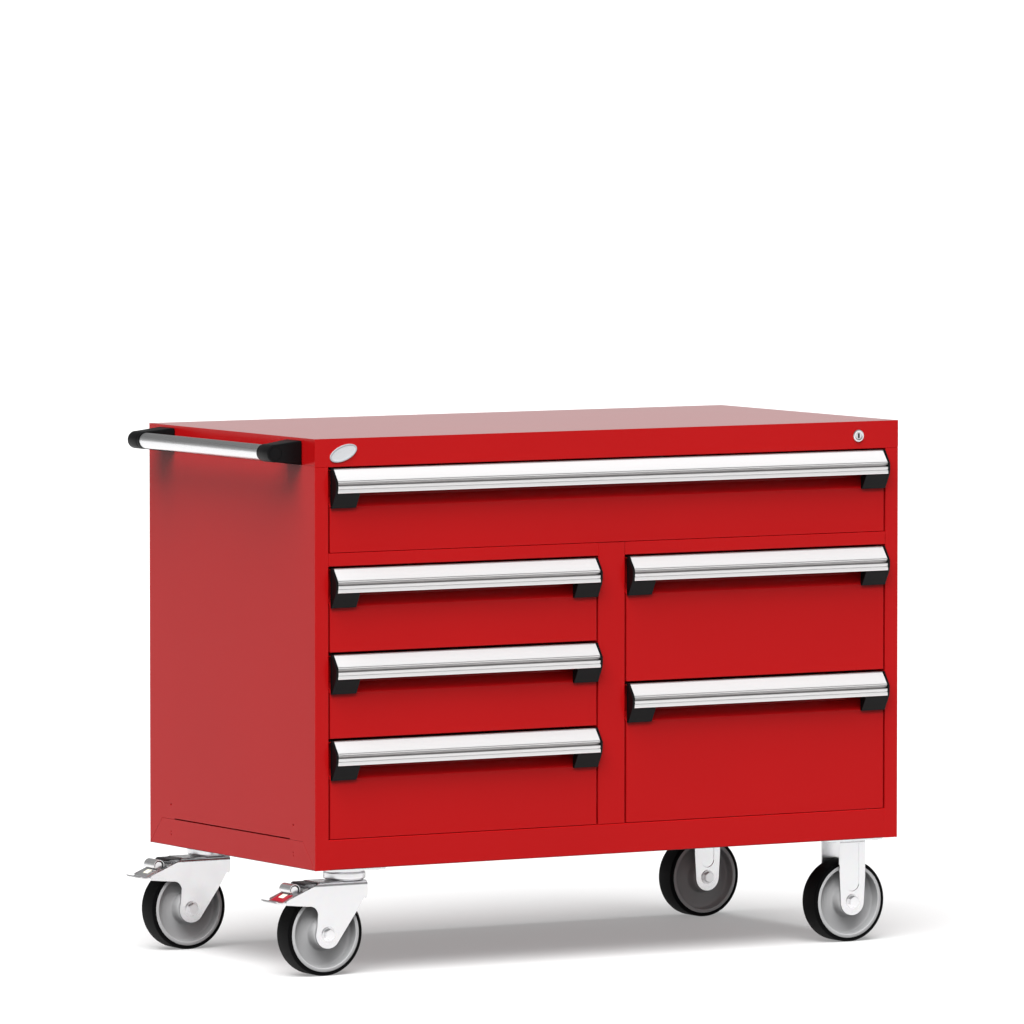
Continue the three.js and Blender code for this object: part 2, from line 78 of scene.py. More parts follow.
class Finish:
    # one material: node() adds any node, surface() its Principled shader
    def __init__(self, name):
        self.material = bpy.data.materials.new(name)
        self.material.use_nodes = True
        self.tree = self.material.node_tree
        self.tree.nodes.clear()

    def node(self, kind, settings=None, sockets=None, out=0):
        made = self.tree.nodes.new("ShaderNode" + kind)
        for key, value in (settings or {}).items():
            setattr(made, key, value)
        for key, value in (sockets or {}).items():
            if isinstance(value, Sock):
                self.tree.links.new(value.socket, made.inputs[key])
            else:
                made.inputs[key].default_value = value
        return Sock(self.tree, made.outputs[out])

    def place(self, scale=(1, 1, 1)):
        at = self.node("TexCoord", out=3)
        if scale == (1, 1, 1):
            return at
        return self.node("Mapping", sockets={"Vector": at, "Scale": scale})

    def noise(self, scale, detail=2.0, at=None, roughness=0.5):
        return self.node("TexNoise", sockets={
            "Vector": at or self.place(), "Scale": scale, "Detail": detail,
            "Roughness": roughness})

    def blend(self, mask, first, second):
        return self.node("Mix", {"data_type": "RGBA"}, {0: mask, 6: first, 7: second}, out=2)

    def bump(self, height, strength, distance):
        return self.node("Bump", sockets={
            "Height": height, "Strength": strength, "Distance": distance})

    def surface(self, **sockets):
        shader = self.tree.nodes.new("ShaderNodeBsdfPrincipled")
        names = {
            "colour": "Base Color", "roughness": "Roughness", "metallic": "Metallic",
            "normal": "Normal", "coat": "Coat Weight", "coatRoughness": "Coat Roughness",
            "specular": "Specular IOR Level", "glow": "Emission Color",
            "glowStrength": "Emission Strength",
        }
        for key, value in sockets.items():
            slot = shader.inputs[names[key]]
            if isinstance(value, Sock):
                self.tree.links.new(value.socket, slot)
            else:
                slot.default_value = value
        output = self.tree.nodes.new("ShaderNodeOutputMaterial")
        self.tree.links.new(shader.outputs[0], output.inputs[0])
        return self.material


def shade(colour, factor):
    return tuple(min(c * factor, 1) for c in colour[:3]) + (1,)


redPaint = {
    "colour": (0.46, 0.0055, 0.0065, 1), "cloud": 2.5, "peelScale": 650, "peel": 0.04,
    "roughness": 0.22, "spread": 0.06, "specular": 0.12, "glance": 1.4, "glanceFrom": 7.0,
}


def makePaint(name, spec):
    f = Finish(name)
    cloud = f.noise(spec["cloud"], 3)
    peel = f.noise(spec["peelScale"], 1)
    dust = f.noise(140, 4, roughness=0.7)
    colour = f.blend(cloud, shade(spec["colour"], 0.94), shade(spec["colour"], 1.05))
    # at a glancing angle the powder coat turns glossy
    facing = f.node("LayerWeight", sockets={"Blend": 0.5}, out=1)
    glance = facing ** spec["glanceFrom"] * spec["glance"]
    return f.surface(
        colour=colour, roughness=spec["roughness"] + spec["spread"] * dust,
        normal=f.bump(peel, spec["peel"], 0.0004), specular=spec["specular"],
        coat=glance, coatRoughness=0.08)


def makeBrushed(name, colour, roughness, grain, strength=0.12):
    # grain is the Mapping scale: small along the brushing, large across it
    f = Finish(name)
    lines = f.noise(1.0, 3, at=f.place(grain), roughness=0.65)
    cloud = f.noise(9, 2)
    tone = f.blend(lines, shade(colour, 0.95), shade(colour, 1.03))
    return f.surface(
        colour=tone, metallic=1.0, roughness=roughness + 0.12 * lines + 0.05 * cloud,
        normal=f.bump(lines, strength, 0.0002))


def makeZinc(name, colour, roughness):
    f = Finish(name)
    spangle = f.node("TexVoronoi", {"feature": "F1"}, {"Vector": f.place(), "Scale": 160.0}, out=1)
    cloud = f.noise(30, 4, roughness=0.6)
    mottled = f.blend(cloud, shade(colour, 0.93), shade(colour, 1.03))
    tone = f.node("Mix", {"data_type": "RGBA", "blend_type": "SOFT_LIGHT"},
                  {0: 0.06, 6: mottled, 7: spangle}, out=2)
    return f.surface(
        colour=tone, metallic=0.92, roughness=roughness + 0.16 * cloud,
        normal=f.bump(cloud, 0.06, 0.0004))


def makeMoulded(name, colour, roughness, grainScale, grain, specular=0.5):
    f = Finish(name)
    grainNoise = f.noise(grainScale, 3, roughness=0.6)
    cloud = f.noise(18, 3)
    tone = f.blend(cloud, shade(colour, 0.88), shade(colour, 1.1))
    return f.surface(
        colour=tone, roughness=roughness + 0.12 * grainNoise,
        normal=f.bump(grainNoise, grain, 0.0003), specular=specular)


def makeLabel(name):
    # paper behind a clear strip
    f = Finish(name)
    fibre = f.noise(1.0, 4, at=f.place((120, 700, 700)), roughness=0.7)
    tone = f.blend(fibre, (0.45, 0.45, 0.455, 1), (0.48, 0.48, 0.48, 1))
    return f.surface(
        colour=tone, roughness=0.35 + 0.1 * fibre, coat=0.6, coatRoughness=0.08,
        normal=f.bump(fibre, 0.04, 0.0002))


def makeFloor(name):
    f = Finish(name)
    tone = f.blend(f.noise(0.6, 2), (0.47, 0.47, 0.47, 1), (0.50, 0.50, 0.50, 1))
    return f.surface(colour=tone, roughness=0.7 + 0.1 * f.noise(3, 2), specular=0.1,
                     glow=(1, 1, 1, 1), glowStrength=0.28)


paint = makePaint("redPowderCoat", redPaint)
pullMetal = makeBrushed("satinPull", (0.80, 0.79, 0.79, 1), 0.26, (3, 1500, 1500), 0.04)
# a darker copy of the pull metal for the groove: painted shade in the recessed groove
grooveShadeMetal = makeBrushed("pullGroove", (0.55, 0.53, 0.53, 1), 0.4, (3, 1500, 1500), 0.04)
tubeMetal = makeBrushed("satinTube", (0.74, 0.74, 0.75, 1), 0.2, (900, 6, 900))
zinc = makeZinc("brightZinc", (0.76, 0.76, 0.77, 1), 0.14)
darkSteel = makeMoulded("brakeArm", (0.008, 0.008, 0.009, 1), 0.3, 900, 0.08, 0.3)
boltSteel = makeBrushed("boltSteel", (0.94, 0.94, 0.95, 1), 0.34, (500, 500, 500), 0.04)
lockSteel = makeBrushed("lockSteel", (0.74, 0.74, 0.76, 1), 0.2, (400, 400, 400), 0.04)
blackCap = makeMoulded("blackCap", (0.0036, 0.0036, 0.004, 1), 0.38, 1800, 0.18, 0.12)
# the web and hub take a darker copy of the rim's nylon: painted shade in the dished web
shadedWebGrey = makeMoulded("wheelNylon", (0.39, 0.39, 0.395, 1), 0.34, 900, 0.08, 0.4)
rimGrey = makeMoulded("rimNylon", (0.48, 0.48, 0.485, 1), 0.36, 900, 0.08, 0.35)
rubber = makeMoulded("tyreRubber", (0.0018, 0.0018, 0.002, 1), 0.5, 1300, 0.2, 0.06)
pedalRed = makeMoulded("pedalRed", (0.26, 0.008, 0.018, 1), 0.32, 1200, 0.12)
pedalCream = makeMoulded("pedalCream", (0.72, 0.69, 0.58, 1), 0.4, 1200, 0.1)
badgeSilver = makeMoulded("badgeSilver", (0.44, 0.45, 0.47, 1), 0.2, 600, 0.03)
badgeField = makeMoulded("badgeField", (0.60, 0.61, 0.63, 1), 0.22, 600, 0.03)
# a near-black finish for the keyhole: painted shade inside the key slot
keyDark = makeMoulded("keyDark", (0.006, 0.006, 0.007, 1), 0.4, 900, 0.05)
label = makeLabel("labelStrip")
linerGrey = makeMoulded("drawerLiner", (0.045, 0.045, 0.048, 1), 0.6, 500, 0.4, 0.3)
print("materials:", len(bpy.data.materials))


def onX(x, y, z):
    # an outline in (y, z), run along x
    return Vector((z, x, y))


def onY(x, y, z):
    # an outline in (x, z), run along y
    return Vector((x, z, y))


def onZ(x, y, z):
    return Vector((x, y, z))


def prism(outline, start, end, turn=onX, bm=None):
    bm = bm or bmesh.new()
    verts = [bm.verts.new(turn(u, v, start)) for u, v in outline]
    face = bm.faces.new(verts)
    grown = bmesh.ops.extrude_face_region(bm, geom=[face])["geom"]
    moved = [v for v in grown if isinstance(v, bmesh.types.BMVert)]
    bmesh.ops.translate(bm, verts=moved, vec=turn(0, 0, end - start))
    return bm


def arc(cx, cy, radius, fromDeg, toDeg, steps=8):
    angles = [math.radians(fromDeg + (toDeg - fromDeg) * i / steps) for i in range(steps + 1)]
    return [(cx + radius * math.cos(a), cy + radius * math.sin(a)) for a in angles]


def scaled(outline):
    return [(u * mm, v * mm) for u, v in outline]


def slab(outline, at, half):
    # an (x, z) outline in mm about a point, run along y by half its width either way
    return prism([(at.x + x * mm, at.z + z * mm) for x, z in outline], at.y - half * mm,
                 at.y + half * mm, turn=onY)


def turned(profile, centre, axis=Vector((0, 1, 0)), steps=64, bm=None, closed=False):
    # profile holds (radius, along) pairs in metres
    bm = bm or bmesh.new()
    across = Vector((0, 0, 1)) if abs(axis.z) < 0.5 else Vector((1, 0, 0))
    verts = [bm.verts.new(centre + across * r + axis * a) for r, a in profile]
    loop = list(zip(verts, verts[1:])) + ([(verts[-1], verts[0])] if closed else [])
    edges = [bm.edges.new(pair) for pair in loop]
    bmesh.ops.spin(bm, geom=verts + edges, cent=centre, axis=axis, angle=2 * math.pi,
                   steps=steps, use_merge=True)
    bmesh.ops.remove_doubles(bm, verts=bm.verts[:], dist=1e-6)
    return bm


def hexBolt(centre, axis, radius, height, bm=None):
    bm = bm or bmesh.new()
    flat = Matrix.Translation(centre) @ axis.to_track_quat("Z", "Y").to_matrix().to_4x4()
    made = bmesh.ops.create_cone(
        bm, segments=6, radius1=radius, radius2=radius, depth=height, cap_ends=True,
        matrix=flat @ Matrix.Translation((0, 0, height / 2)))
    edges = {e for v in made["verts"] for e in v.link_edges}
    top = [e for e in edges if all((v.co - centre).dot(axis) > height * 0.9 for v in e.verts)]
    bmesh.ops.bevel(bm, geom=top, offset=radius * 0.14, segments=2, profile=0.5,
                    affect="EDGES", material=-1)
    return bm


def block(x, y, z, bm=None):
    bm = bm or bmesh.new()
    size = Vector((x[1] - x[0], y[1] - y[0], z[1] - z[0]))
    middle = Vector((x[0] + x[1], y[0] + y[1], z[0] + z[1])) / 2
    bmesh.ops.create_cube(bm, matrix=Matrix.Translation(middle) @ Matrix.Diagonal((*size, 1)))
    return bm


def toObject(bm, name):
    bmesh.ops.recalc_face_normals(bm, faces=bm.faces[:])
    mesh = bpy.data.meshes.new(name)
    bm.to_mesh(mesh)
    bm.free()
    made = bpy.data.objects.new(name, mesh)
    scene.collection.objects.link(made)
    return made


def carve(body, tool, operation):
    # boolean of two bmeshes
    first, second = toObject(body, "carveBody"), toObject(tool, "carveTool")
    cut = first.modifiers.new("cut", "BOOLEAN")
    cut.operation = operation
    cut.object = second
    cut.solver = "EXACT"
    bpy.context.view_layer.update()
    result = bmesh.new()
    result.from_mesh(first.evaluated_get(bpy.context.evaluated_depsgraph_get()).data)
    for temp in (first, second):
        bpy.data.meshes.remove(temp.data)
    bmesh.ops.remove_doubles(result, verts=result.verts[:], dist=1e-5)
    return result


def piece(bm, name, materials, body, replaced=(), bevel=0, segments=2, angle=32):
    materials = materials if isinstance(materials, list) else [materials]
    made = toObject(bm, name)
    made.data.shade_smooth()
    made.data.set_sharp_from_angle(angle=math.radians(angle))
    for material in materials:
        made.data.materials.append(material)
    if bevel:
        soften = made.modifiers.new("soften", "BEVEL")
        soften.width = bevel * mm
        soften.segments = segments
        soften.limit_method = "ANGLE"
        soften.angle_limit = math.radians(angle)
        soften.harden_normals = True
        level = made.modifiers.new("level", "WEIGHTED_NORMAL")
        level.weight = 100
        level.keep_sharp = True
    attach(made, body)
    if replaced:
        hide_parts(*replaced)
    return made


folded = {
    "radius": 1.9, "segments": 4, "thin": 3.0, "shortest": 6.0, "edge": 0.35, "slideSide": 3.4,
    "slideEdge": 3,
}


def sheetCopy(node):
    bm = bmesh.new()
    bm.from_mesh(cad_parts[node].data)
    bmesh.ops.remove_doubles(bm, verts=bm.verts[:], dist=1e-5)
    bmesh.ops.dissolve_limit(bm, angle_limit=math.radians(0.5), verts=bm.verts[:],
                             edges=bm.edges[:])
    bm.normal_update()
    return bm


def isWide(face):
    longest = max(edge.calc_length() for edge in face.edges)
    return face.calc_area() / longest > folded["thin"] * mm


def roundFolds(bm):
    # only where two wide faces meet is the sheet bent; cut edges stay crisp
    folds = [
        e for e in bm.edges
        if len(e.link_faces) == 2 and e.is_convex and e.calc_face_angle(0) > 0.3
        and e.calc_length() > folded["shortest"] * mm and all(isWide(f) for f in e.link_faces)]
    bmesh.ops.bevel(bm, geom=folds, offset=folded["radius"] * mm, offset_type="OFFSET",
                    segments=folded["segments"], profile=0.5, affect="EDGES", material=-1,
                    clamp_overlap=True)


def sheetPiece(node, zincWhere=None):
    bm = sheetCopy(node)
    for face in bm.faces:
        if zincWhere and zincWhere(face):
            face.material_index = 1
    roundFolds(bm)
    materials = [paint, zinc] if zincWhere else paint
    piece(bm, node + ".sheet", materials, "root", [node], folded["edge"], 1)


baseLow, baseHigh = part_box("base")
drawerNames = sorted({n[:-5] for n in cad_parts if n.endswith("_pull")})


def nearSlide(face):
    # the fixed slide members lie beside the middle ones, at their height
    beside, above = folded["slideSide"] * mm, folded["slideEdge"] * mm
    for name in drawerNames:
        for side in ("_slide_left", "_slide_right"):
            low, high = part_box(name + side)
            if all(low.x - beside < v.co.x < high.x + beside and v.co.y > low.y - mm
                   and low.z - above < v.co.z < high.z + above for v in face.verts):
                return True
    return False


for node in ("worktop", "base", "back_panel", "cross_rail"):
    sheetPiece(node)
for node in ("side_left", "side_right", "centre_partition"):
    sheetPiece(node, zincWhere=nearSlide)

weld = {"gap": 27.2, "half": 0.8, "sunk": 0.12, "depth": 1.6, "foot": 0.4, "head": 0.3}


def makeWelds():
    # the base pan's front is joined to both corner posts
    gap, half = weld["gap"] * mm, weld["half"] * mm
    for name, at in (("left", baseLow.x + gap), ("right", baseHigh.x - gap)):
        bead = block((at - half, at + half),
                     (baseLow.y + weld["sunk"] * mm, baseLow.y + weld["depth"] * mm),
                     (baseLow.z + weld["foot"] * mm, baseHigh.z - weld["head"] * mm))
        piece(bead, "base.weld_" + name, paint, "root")


makeWelds()
print("cabinet sheets done")


pull = {
    "top": 0.5, "slopeDrop": 23.6, "grooveDrop": 6.5, "lipDrop": 13.4, "backFromFace": 3.5,
    "nose": 21.4, "grooveDepth": 6.2, "wall": 3, "label": 0.5, "fascia": 2.9,
}
cap = {"wall": 4.6, "lap": 0.5, "leg": 50, "drop": 70.5, "gap": 0.4, "foot": 5, "proud": 22}
drawerBox = {"sideIn": 12.3, "liner": 1.2, "linerIn": 4, "linerFront": 22, "linerRise": 9.2}


def pullOutline(head):
    slopeFoot = head - pull["slopeDrop"]
    lipTop = slopeFoot - pull["grooveDrop"]
    lipFoot = lipTop - pull["lipDrop"]
    nose = -pull["nose"]
    groove = nose + pull["grooveDepth"]
    outer = [(-pull["backFromFace"], head - pull["top"]), (-4.5, head - 1.2), (-4.4, head - 2.4)]
    outer += [(nose + 2.2, slopeFoot + 2.0), (nose + 1.2, slopeFoot + 1.6)]
    outer += arc(nose + 1.9, slopeFoot + 0.3, 0.9, 190, 270, 4)
    face = slopeFoot - pull["fascia"]
    outer += [(nose + 1.0, face + 0.3), (nose + 1.4, face), (groove, face), (groove, lipTop + 0.6)]
    outer += arc(nose + 1.9, lipTop - 1.2, 1.8, 90, 180, 6)
    outer += [(nose + 0.1, lipTop - 4.6), (nose + 0.9, lipTop - 5.2), (nose + 0.9, lipTop - 6.2),
              (nose + 0.1, lipTop - 6.8)]
    outer += arc(nose + 1.3, lipFoot + 1.3, 1.3, 180, 270, 5)
    inner = [
        (nose + 7, lipFoot - 0.1), (nose + 7, lipFoot + pull["wall"]),
        (groove + pull["wall"], lipTop - pull["wall"]), (groove + pull["wall"], slopeFoot + 2),
        (-pull["backFromFace"] + 1, head - 6), (-pull["backFromFace"] + 1, head - 2),
        (15, head - 2), (15, head - pull["top"]),
    ]
    return outer + inner


def capOutlines(head):
    slopeFoot = head - pull["slopeDrop"]
    lipFoot = slopeFoot - pull["grooveDrop"] - pull["lipDrop"]
    out, gap, foot = -cap["proud"], -cap["gap"], head - cap["drop"]
    side = [
        (-5, head), (out + 0.3, slopeFoot - 0.4), (out, slopeFoot - 2), (out, lipFoot + 8),
        (out + 1.8, lipFoot - 0.8), (-cap["foot"], foot), (gap, foot), (gap, head)]
    leg = [
        (out + 2.2, lipFoot - 0.9), (-cap["foot"] - 0.2, foot + 0.2), (gap - 0.2, foot + 0.2),
        (gap - 0.2, lipFoot - 3), (out + 12, lipFoot - 0.6)]
    return side, leg


def makeDrawer(name):
    low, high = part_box(name + "_pull")
    bodyLow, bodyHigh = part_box(name + "_body")
    face, head = bodyLow.y, high.z / mm
    inBox = (bodyLow.x + drawerBox["sideIn"] * mm, bodyHigh.x - drawerBox["sideIn"] * mm)
    slopeFoot = head - pull["slopeDrop"]

    def placed(outline):
        # heights are the world's, and y is measured from the drawer's face
        return [(face + y * mm, z * mm) for y, z in outline]

    def onMember(at):
        sideways = at.x < inBox[0] - 0.2 * mm or at.x > inBox[1] + 0.2 * mm
        return sideways and at.y > face + 20 * mm

    shell = sheetCopy(name + "_body")
    for f in shell.faces:
        if onMember(f.calc_center_median()):
            f.material_index = 1
    roundFolds(shell)
    piece(shell, name + ".box", [paint, zinc], name, [name + "_body"],
          folded["edge"], 1)

    barIn = (cap["wall"] - cap["lap"]) * mm
    bar = prism(placed(pullOutline(head)), low.x + barIn, high.x - barIn)
    grooveTop = slopeFoot - pull["fascia"]
    # the groove's faces take the darker copy: painted shade in the recessed groove above the lip
    for f in bar.faces:
        at = f.calc_center_median() / mm
        inGroove = slopeFoot - pull["grooveDrop"] - 0.1 < at.z < grooveTop + 0.1
        f.material_index = 1 if inGroove and len(f.verts) == 4 else 0
    piece(bar, name + ".pull", [pullMetal, grooveShadeMetal], name,
          [name + "_pull"], 0.2, 2, 50)

    lift = pull["label"]
    strip = [(-4.5, head - 2.5), (-4.5 - lift, head - 2.7),
             (-pull["nose"] + 2.0 - lift, slopeFoot + 2.1), (-pull["nose"] + 2.1, slopeFoot + 2.1)]
    inset = (cap["wall"] + cap["gap"]) * mm
    piece(prism(placed(strip), low.x + inset, high.x - inset), name + ".label", label, name)

    side, leg = [placed(outline) for outline in capOutlines(head)]
    for end, start, inward in (("left", low.x, 1), ("right", high.x, -1)):
        wall = prism(side, *sorted((start, start + inward * cap["wall"] * mm)))
        prism(leg, *sorted((start + inward * mm, start + inward * cap["leg"] * mm)), bm=wall)
        piece(wall, f"{name}.cap_{end}", blackCap, name, (), 0.5, 3)

    clear = drawerBox["linerIn"] * mm
    linerZ = bodyLow.z + drawerBox["linerRise"] * mm
    liner = block((inBox[0] + clear, inBox[1] - clear),
                  (face + drawerBox["linerFront"] * mm, bodyHigh.y - clear),
                  (linerZ, linerZ + drawerBox["liner"] * mm))
    piece(liner, name + ".liner", linerGrey, name, (), 0.4, 2)


for name in drawerNames:
    makeDrawer(name)
    for node in (name + "_slide_left", name + "_slide_right"):
        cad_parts[node].data.materials.clear()
        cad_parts[node].data.materials.append(zinc)
print("drawers done:", len(drawerNames))


handle = {
    "radius": 14, "nose": 15.8, "reach": 53.6, "height": 44, "foot": 54.6, "noseWidth": 36,
    "round": 3.2, "collar": 3.0, "disc": 12.4,
}


def makeHandle():
    tubeLow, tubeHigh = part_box("push_handle_tube")
    middle = (tubeLow + tubeHigh) / 2
    half = (tubeHigh.y - tubeLow.y) / 2
    radius = handle["radius"] * mm
    tube = turned([(0, -half), (radius - mm, -half), (radius, -half + mm), (radius, half - mm),
                   (radius - mm, half), (0, half)], middle, steps=72)
    piece(tube, "handle.tube", tubeMetal, "root", ["push_handle_tube"])
    for node, out in (("push_handle_bracket_front", -1), ("push_handle_bracket_back", 1)):
        makeBracket(node, out, middle)


def makeBracket(node, out, middle):
    low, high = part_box(node)
    end = low.y if out < 0 else high.y  # the outer end face
    side = high.x
    half = handle["height"] / 2
    tall = (low.z + high.z) / 2
    nose = handle["nose"]
    outline = [(0, -half), (0, half)]
    outline += arc(-handle["reach"], 0, nose, 84, 276, 18)
    bm = prism([(side + x * mm, tall + z * mm) for x, z in outline], 0, 1, turn=onY)
    taper = (handle["foot"] - handle["noseWidth"]) / (handle["reach"] + nose)
    for v in bm.verts:
        depth = handle["foot"] * mm - taper * (side - v.co.x)
        v.co.y = end if v.co.y < 0.5 else end - out * depth
    bmesh.ops.recalc_face_normals(bm, faces=bm.faces[:])
    edges = [e for e in bm.edges if e.calc_face_angle(0) > 0.5]
    bmesh.ops.bevel(bm, geom=edges, offset=handle["round"] * mm, segments=4, profile=0.5,
                    affect="EDGES", material=-1, clamp_overlap=True)
    disc = handle["disc"]
    groove = [(disc - 0.9, -0.8), (disc, -0.8), (disc, 2), (disc - 0.9, 2)]
    ring = turned(scaled(groove), Vector((middle.x, end, middle.z)), Vector((0, out, 0)),
                  closed=True)
    piece(carve(bm, ring, "DIFFERENCE"), node + ".arm", blackCap, "root", [node])
    collarAt = Vector((middle.x, end - out * (handle["noseWidth"] + 4) * mm, middle.z))
    bore = handle["radius"] + 0.15
    ring = [(bore, -5), (nose - 0.6, -5), (nose - 0.4, 0), (nose - 1.0, handle["collar"]),
            (bore, handle["collar"])]
    collar = turned(scaled(ring), collarAt, Vector((0, -out, 0)), closed=True)
    piece(collar, node + ".collar", blackCap, "root")


makeHandle()
print("push handle done")


lock = {"face": 11.25, "bezel": 1.5, "proud": 2.8, "plug": 6.3, "keyway": (2.2, 4.6)}
badge = {"half": (28.5, 13.6), "tilt": 20, "rim": 2.4, "thick": 1.6, "step": 0.8, "sunk": 0.5}


def makeLock():
    low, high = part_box("lock_cylinder")
    centre = Vector(((low.x + high.x) / 2, low.y + lock["proud"] * mm, (low.z + high.z) / 2))
    p, r = lock["proud"], lock["face"]
    ring = [(lock["plug"], p - 0.6), (lock["plug"], -12), (9.1, -12), (9.1, -0.2), (r, -0.2),
            (r, p - lock["bezel"])]
    ring += arc(r - lock["bezel"], p - lock["bezel"], lock["bezel"], 0, 90, 5)
    ring += [(8.4, p), (7.6, p - 0.5)]
    bezel = turned(scaled(ring), centre, Vector((0, -1, 0)), closed=True)
    piece(bezel, "lock.bezel", lockSteel, "root", ["lock_cylinder"])
    plug = sheetCopy("lock_plug")
    piece(plug, "lock.plug", lockSteel, "lock_plug", ["lock_plug"], 0.25, 2)
    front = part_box("lock_plug")[0].y
    # a dark block on the plug's face at the keyhole: painted shade inside the key slot
    across, up = (half * mm for half in lock["keyway"])
    slot = block((centre.x - across, centre.x + across), (front - 0.15 * mm, front + 2 * mm),
                 (centre.z - up, centre.z + up))
    piece(slot, "lock.keyway", keyDark, "lock_plug", (), 0.2, 1)


def makeBadge():
    low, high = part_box("badge")
    centre = (low + high) / 2
    bm = bmesh.new()
    a, b = badge["half"]
    tip = Matrix.Rotation(math.radians(90), 4, "X")
    lean = Matrix.Rotation(math.radians(-badge["tilt"]), 4, "Y")
    bmesh.ops.create_circle(
        bm, segments=72, radius=1, cap_ends=True,
        matrix=Matrix.Translation((centre.x, high.y, centre.z)) @ lean @ tip
        @ Matrix.Diagonal((a * mm, b * mm, 1, 1)))
    front = bm.faces[:]
    grown = bmesh.ops.extrude_face_region(bm, geom=front)["geom"]
    face = [f for f in grown if isinstance(f, bmesh.types.BMFace)]
    verts = [v for v in grown if isinstance(v, bmesh.types.BMVert)]
    bmesh.ops.translate(bm, verts=verts, vec=(0, -badge["thick"] * mm, 0))
    bmesh.ops.inset_region(bm, faces=face, thickness=badge["rim"] * mm, depth=0)
    bmesh.ops.inset_region(bm, faces=face, thickness=badge["step"] * mm,
                           depth=-badge["sunk"] * mm)
    for f in face:
        f.material_index = 1
    piece(bm, "badge.oval", [badgeSilver, badgeField], "root", ["badge"], 0.3, 3)


makeLock()
makeBadge()
print("lock and badge done")


wheel = {
    "radius": 75, "tread": 46, "rim": 68, "rimIn": 61.5, "hub": 29.5, "hubHalf": 28,
    "web": 5, "axle": 6.5,
}
fork = {
    "inside": 28.8, "gauge": 3.5, "bend": 8, "trail": 50.8, "drop": 115.5, "crown": -23.1,
    "edge": 0.8, "press": 1.3, "pressHalf": 14, "pressDrop": 97, "pressTop": 9, "cutHalf": 45,
}
bearing = {"radius": 38, "plate": 4, "top": -9, "foot": -22.6, "nut": 13, "nutDepth": 8}
plate = {
    "half": (57, 48), "bolts": (45, 37), "head": 6, "headDepth": 1.2, "seam": 0.3,
    "fixedHalf": (57, 44.3), "fixedBolts": (45, 37.5), "fixedGauge": 3.8,
}
axle = {"rod": 6, "washer": 13, "washerGauge": 1.6, "seat": 0.1, "head": 10.5, "headDepth": 6}


def makeWheel(name, body):
    low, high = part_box(name + "_tyre")
    centre = (low + high) / 2
    r, half = wheel["radius"], wheel["tread"] / 2
    rim, rimIn, hub, hubHalf = wheel["rim"], wheel["rimIn"], wheel["hub"], wheel["hubHalf"]
    shoulder = 4.5
    tread = [(rim + 0.2, -half + 0.5), (r - shoulder, -half)]
    tread += arc(r - shoulder, -half + shoulder, shoulder, -90, 0, 6)
    tread += arc(r - shoulder, half - shoulder, shoulder, 0, 90, 6)
    tread += [(rim + 0.2, half - 0.5)]
    tyre = turned(scaled(tread), centre, steps=120, closed=True)
    piece(tyre, name + ".tyre", rubber, body, [name + "_tyre"])

    side = [(wheel["axle"], hubHalf), (hub - 7, hubHalf)]
    side += arc(hub - 5, hubHalf - 3, 3, 90, 20, 4)
    side += [(hub, hubHalf - 10)]
    side += arc(hub + 4.5, wheel["web"] + 8.5, 4.5, 190, 255, 5)
    side += [(rimIn - 9, wheel["web"] - 2.4)]
    side += arc(rimIn - 4.4, wheel["web"] + 1.8, 4, 262, 348, 5)
    side += [(rimIn, half - 1.6), (rimIn + 0.8, half - 0.8), (rim - 0.8, half - 0.8),
             (rim, half - 1.4)]
    profile = side + [(a, -b) for a, b in reversed(side)]
    core = turned(scaled(profile), centre, steps=120, closed=True)
    # faces off the rim take the darker copy: painted shade in the web and hub
    for f in core.faces:
        at = f.calc_center_median() - centre
        onRim = math.hypot(at.x, at.z) > (rimIn - 0.5) * mm and abs(at.y) > (half - 5) * mm
        f.material_index = 1 if onRim else 0
    piece(core, name + ".core", [shadedWebGrey, rimGrey], body, [name + "_wheel"],
          angle=40)
    return centre


def makeAxle(name, centre, body):
    out, r = fork["inside"] + fork["gauge"], axle["rod"]
    rod = turned(scaled([(0, -out), (r, -out), (r, out), (0, out)]), centre, steps=32)
    r, gauge = axle["washer"], axle["washerGauge"]
    for sign in (-1, 1):
        way = Vector((0, sign, 0))
        seat = centre + way * (out + axle["seat"]) * mm
        turned(scaled([(0, 0), (r, 0), (r, gauge), (0, gauge)]), seat, way, 40, rod)
        hexBolt(seat + way * gauge * mm, way, axle["head"] * mm, axle["headDepth"] * mm, bm=rod)
    piece(rod, name + ".bolt", boltSteel, body, [name + "_axle"], 0.2, 1)


def channel(spanX, foot):
    # an upside-down U section with rounded bends, run along x; heights are from the crown
    out, inside, bend = fork["inside"] + fork["gauge"], fork["inside"], fork["bend"]
    inner = bend - fork["gauge"]
    section = [(-out, foot)] + arc(-out + bend, -bend, bend, 180, 90, 8)
    section += arc(out - bend, -bend, bend, 90, 0, 8) + [(out, foot), (inside, foot)]
    section += arc(inside - inner, -bend, inner, 0, 90, 6)
    section += arc(-inside + inner, -bend, inner, 90, 180, 6) + [(-inside, foot)]
    return prism(scaled(section), spanX[0] * mm, spanX[1] * mm)


def swivelSide():
    # the cheek's outline about the axle
    rise = fork["drop"] + fork["crown"]
    outline = [(-84, 56.5), (-83.4, 55), (-40, 51)] + arc(-37, 34.5, 16.6, 92, 8, 7)
    outline += [(-22.6, 12)] + arc(0, -1, 24.6, 172, 333, 14)
    outline += [(57, 37), (73, 63)] + arc(64, 70, 16, -35, 0, 5)
    outline += [(80, rise + 5), (-12, rise + 5), (-16, rise - 1.5), (-82.5, 63.5), (-84, 62)]
    return outline


def rigidSide():
    half, top = 27.5, fork["drop"] + 1
    outline = arc(0, -1, 24.7, 180, 360, 16)
    outline += [(half - 1.6, 20), (half, 46), (half, top)]
    outline += [(-half, top), (-half, 46), (-half + 1.6, 20)]
    return outline


